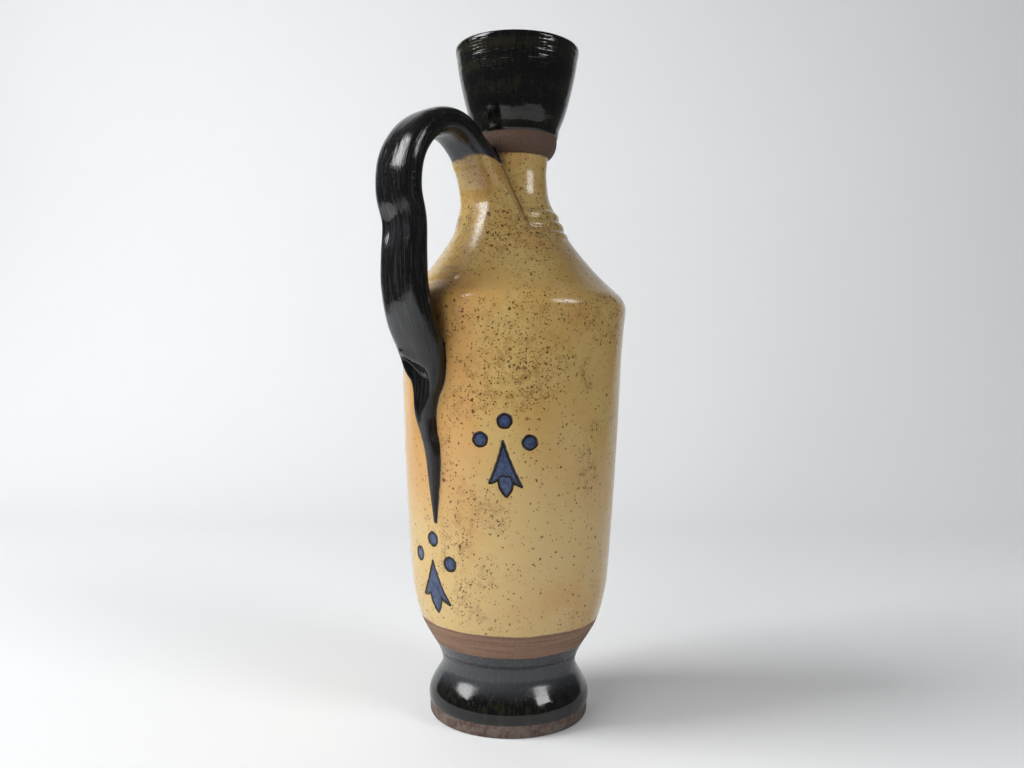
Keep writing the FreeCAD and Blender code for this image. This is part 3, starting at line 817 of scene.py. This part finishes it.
def blackGlaze(here):
    sockets = {0: here.roundStrap * black["strokesRound"], 1: here.alongStrap * black["strokesAlong"]}
    pulled = noise(here, 1.0, 2, 0.6, where=Link.node(here.tree, "CombineXYZ", {}, sockets))
    brushed = noise(here, 0.75, 2, 0.6, stretch=(1, 1, 0.06))
    here.bands = noise(here, 0.16, 2, 0.5, stretch=(0.06, 0.06, 1))
    here.streaks = mixNumber(here.strap, brushed, pulled)
    here.marks = mixNumber(here.cup, here.streaks, here.streaks * 0.45 + here.bands * 0.55)
    here.upperFoot = (here.z + here.wander * 2).step(*black["paintedSheenFrom"]) * here.foot
    colour = mixColour(here.marks.step(0.49, 0.62) * 0.65, black["plain"], black["thin"])
    aboveHoney = (here.z - borders["root"] + here.wander * borders["rootWander"]).step(1, 6)
    overHoney = here.strap * (1 - aboveHoney) * (1 - here.limb)
    bluish = (overHoney * 0.8).above(here.strap * here.limb * here.streaks.step(0.50, 0.62) * 0.35)
    colour = mixColour(bluish, colour, black["blue"])
    # painted reflection: the upper foot is lightened to grey, standing in for the table mirrored in its
    # concave waist
    return mixColour(here.upperFoot * (here.streaks * 0.6 + 0.6), colour, black["grey"])


# blue inlay and its dark incised line
inlay = {"blue": (0.020, 0.032, 0.080), "pale": (0.045, 0.070, 0.145), "line": (0.008, 0.006, 0.006)}


def inlaySpots(here, colour):
    blue = mixColour(noise(here, 0.5).step(0.35, 0.7), inlay["blue"], inlay["pale"])
    colour = mixColour(1 - here.toSpot.step(-0.5, -0.3), colour, blue)
    line = 1 - abs(here.toSpot + here.fineWander * 0.15).step(0.48, 0.82)
    return mixColour(line * (1 - here.strap), colour, inlay["line"])


# gloss and skin: heights in millimetres
skin = {
    "clayRough": 0.80, "honeyRough": 0.10, "honeyCloud": 0.16, "blackRough": 0.05, "blackCloud": 0.10,
    "upperFoot": 0.17, "peel": 0.05, "uneven": 0.25, "grain": 0.10, "turning": 0.35, "specks": 0.03,
    "streaks": 0.30, "onCup": 0.6, "bands": 0.35, "rimWaves": 1.3, "crease": 0.10, "strength": 0.6,
}


def glazeRoughness(here):
    honeyRough = noise(here, 0.12, 3, 0.6) * skin["honeyCloud"] + skin["honeyRough"]
    blackRough = here.marks * skin["blackCloud"] + skin["blackRough"] + here.upperFoot * skin["upperFoot"]
    return mixNumber(here.black, mixNumber(here.glossy, skin["clayRough"], honeyRough), blackRough)


def glazeHeight(here):
    # slow unevenness, orange peel in the honey, brush marks and turning bands in the black, waves at the rim
    bare = 1 - here.glossy
    height = noise(here, 1.3, 3, 0.6) * here.honey * skin["peel"] + noise(here, 0.12, 2) * skin["uneven"]
    height = height + here.grain * bare * skin["grain"] + here.turning * bare * skin["turning"]
    height = height - here.specks * skin["specks"]
    height = height + here.streaks * here.strap.above(here.cup * skin["onCup"]) * skin["streaks"]
    height = height + here.bands * here.cup * skin["bands"]
    rimWaves = noise(here, 0.42, 2, 0.55, stretch=(0.12, 0.12, 1)) * here.z.step(299, 311)
    return height + rimWaves * skin["rimWaves"] - here.crease * skin["crease"]


def glazeMaterial():
    material = bpy.data.materials.new("glazedStoneware")
    material.use_nodes = True
    tree = material.node_tree
    tree.nodes.clear()
    here = readSurface(tree)
    markGlazes(here)
    colour = mixColour(here.honey, bareClay(here), honeyGlaze(here))
    colour = mixColour(here.black, colour, blackGlaze(here))
    colour = inlaySpots(here, colour)
    sockets = {"Strength": skin["strength"], "Distance": unit, "Height": glazeHeight(here)}
    bump = Link.node(tree, "Bump", {}, sockets)
    sockets = {"IOR": 1.5, "Base Color": colour, "Roughness": glazeRoughness(here), "Normal": bump}
    shader = Link.node(tree, "BsdfPrincipled", {}, sockets)
    Link.node(tree, "OutputMaterial", {}, {"Surface": shader})
    return material


jug.data.materials.clear()
jug.data.materials.append(glazeMaterial())
print("glazes on")


# table and backdrop in one sheet of pale cloth, sizes in metres
room = {
    "ahead": 0.65, "behind": 0.9, "bend": 0.45, "bendSteps": 12, "high": 1.3, "halfWide": 0.84,
    "clothColour": (0.84, 0.85, 0.86), "clothRough": 0.9,
    "worldColour": (0.95, 0.97, 1.0), "worldStrength": 0.10,
}


def buildBackdrop():
    # a floor that bends up into a wall, as a line of distances behind the jug and heights
    bend, reach = room["bend"], room["behind"]
    line = [(-room["ahead"], 0.0), (reach - bend, 0.0)]
    for k in range(1, room["bendSteps"] + 1):
        a = math.pi / 2 * k / room["bendSteps"]
        line.append((reach - bend + bend * math.sin(a), bend - bend * math.cos(a)))
    line.append((reach, room["high"]))
    away = Vector((math.sqrt(0.5), math.sqrt(0.5), 0))
    side = Vector((math.sqrt(0.5), -math.sqrt(0.5), 0))
    verts = []
    for run, up in line:
        for s in (-room["halfWide"], room["halfWide"]):
            verts.append(away * run + side * s + Vector((0, 0, up)))
    faces = [(2 * i, 2 * i + 1, 2 * i + 3, 2 * i + 2) for i in range(len(line) - 1)]
    backdrop = meshObject("clothBackdrop", verts, faces)
    smooth(backdrop)
    material = bpy.data.materials.new("paleCloth")
    material.use_nodes = True
    shader = material.node_tree.nodes["Principled BSDF"]
    shader.inputs["Base Color"].default_value = room["clothColour"] + (1,)
    shader.inputs["Roughness"].default_value = room["clothRough"]
    backdrop.data.materials.append(material)


def lightWorld():
    world = bpy.data.worlds.new("paleRoom")
    bpy.context.scene.world = world
    world.use_nodes = True
    background = world.node_tree.nodes["Background"]
    background.inputs["Color"].default_value = room["worldColour"] + (1,)
    background.inputs["Strength"].default_value = room["worldStrength"]


buildBackdrop()
lightWorld()
print("backdrop up")


# camera at the photograph's view: millimetres, degrees and pixels
view = {"focal": 893.2, "distance": 435.6, "height": 175.4, "pitch": 2.11, "yaw": -0.05, "roll": 0.78,
        "round": -45.0, "wide": 1024, "high": 768, "sensor": 36}


def viewRay(u, v):
    pitch, yaw, roll = (math.radians(view[k]) for k in ("pitch", "yaw", "roll"))
    x = (u - view["wide"] / 2) / view["focal"]
    z = -(v - view["high"] / 2) / view["focal"]
    x, z = x * math.cos(roll) - z * math.sin(roll), x * math.sin(roll) + z * math.cos(roll)
    y, z = math.cos(pitch) + z * math.sin(pitch), -math.sin(pitch) + z * math.cos(pitch)
    return Vector((x * math.cos(yaw) + y * math.sin(yaw), -x * math.sin(yaw) + y * math.cos(yaw), z))


def buildCamera():
    spin = Matrix.Rotation(math.radians(view["round"]), 3, "Z")
    middle = viewRay(view["wide"] / 2, view["high"] / 2)
    right = spin @ (viewRay(view["wide"] / 2 + view["focal"], view["high"] / 2) - middle)
    up = spin @ (viewRay(view["wide"] / 2, view["high"] / 2 - view["focal"]) - middle)
    ahead = spin @ middle
    eye = spin @ Vector((0, -view["distance"], view["height"])) * unit
    camera = bpy.data.objects.new("camera", bpy.data.cameras.new("camera"))
    bpy.context.scene.collection.objects.link(camera)
    camera.matrix_world = Matrix(((right.x, up.x, -ahead.x, eye.x), (right.y, up.y, -ahead.y, eye.y),
                                  (right.z, up.z, -ahead.z, eye.z), (0, 0, 0, 1)))
    camera.data.sensor_width = view["sensor"]
    camera.data.lens = view["focal"] / view["wide"] * view["sensor"]
    camera.data.clip_start = 0.01
    bpy.context.scene.camera = camera
    return right, ahead


right, ahead = buildCamera()
levelAhead = Vector((ahead.x, ahead.y, 0)).normalized()
sideways = Vector((right.x, right.y, 0)).normalized()


def fromView(across, away, height):
    # a place given as seen from the camera, in metres from the jug's axis
    return sideways * across + levelAhead * away + Vector((0, 0, height))


# places as seen from the camera, sizes in metres; the fill is the white cloth round the table, not mirrored
lamps = {
    "windowLeft": {"across": -1.22, "away": -0.24, "height": 1.12, "aim": 0.20, "wide": 0.76, "high": 0.90,
                   "power": 14.5, "spread": 2.5, "mirrored": True},
    "windowRight": {"across": 1.05, "away": -0.70, "height": 0.82, "aim": 0.16, "wide": 0.50, "high": 0.40,
                    "power": 6.0, "spread": 3.1, "mirrored": True},
    "softFill": {"across": -1.05, "away": -1.0, "height": 0.42, "aim": 0.15, "wide": 1.2, "high": 0.7,
                 "power": 13.0, "spread": 3.1, "mirrored": False},
}


def hangLamp(name, size):
    lamp = bpy.data.lights.new(name, "AREA")
    lamp.shape = "RECTANGLE"
    lamp.size = size["wide"]
    lamp.size_y = size["high"]
    lamp.energy = size["power"]
    lamp.spread = size["spread"]
    thing = bpy.data.objects.new(name, lamp)
    bpy.context.scene.collection.objects.link(thing)
    thing.location = fromView(size["across"], size["away"], size["height"])
    thing.rotation_euler = (Vector((0, 0, size["aim"])) - thing.location).to_track_quat("-Z", "Y").to_euler()
    thing.visible_glossy = size["mirrored"]


for lampName, lampSize in lamps.items():
    hangLamp(lampName, lampSize)
print("lamps hung")
bpy.context.scene.view_settings.view_transform = "Standard"

print("scene done")
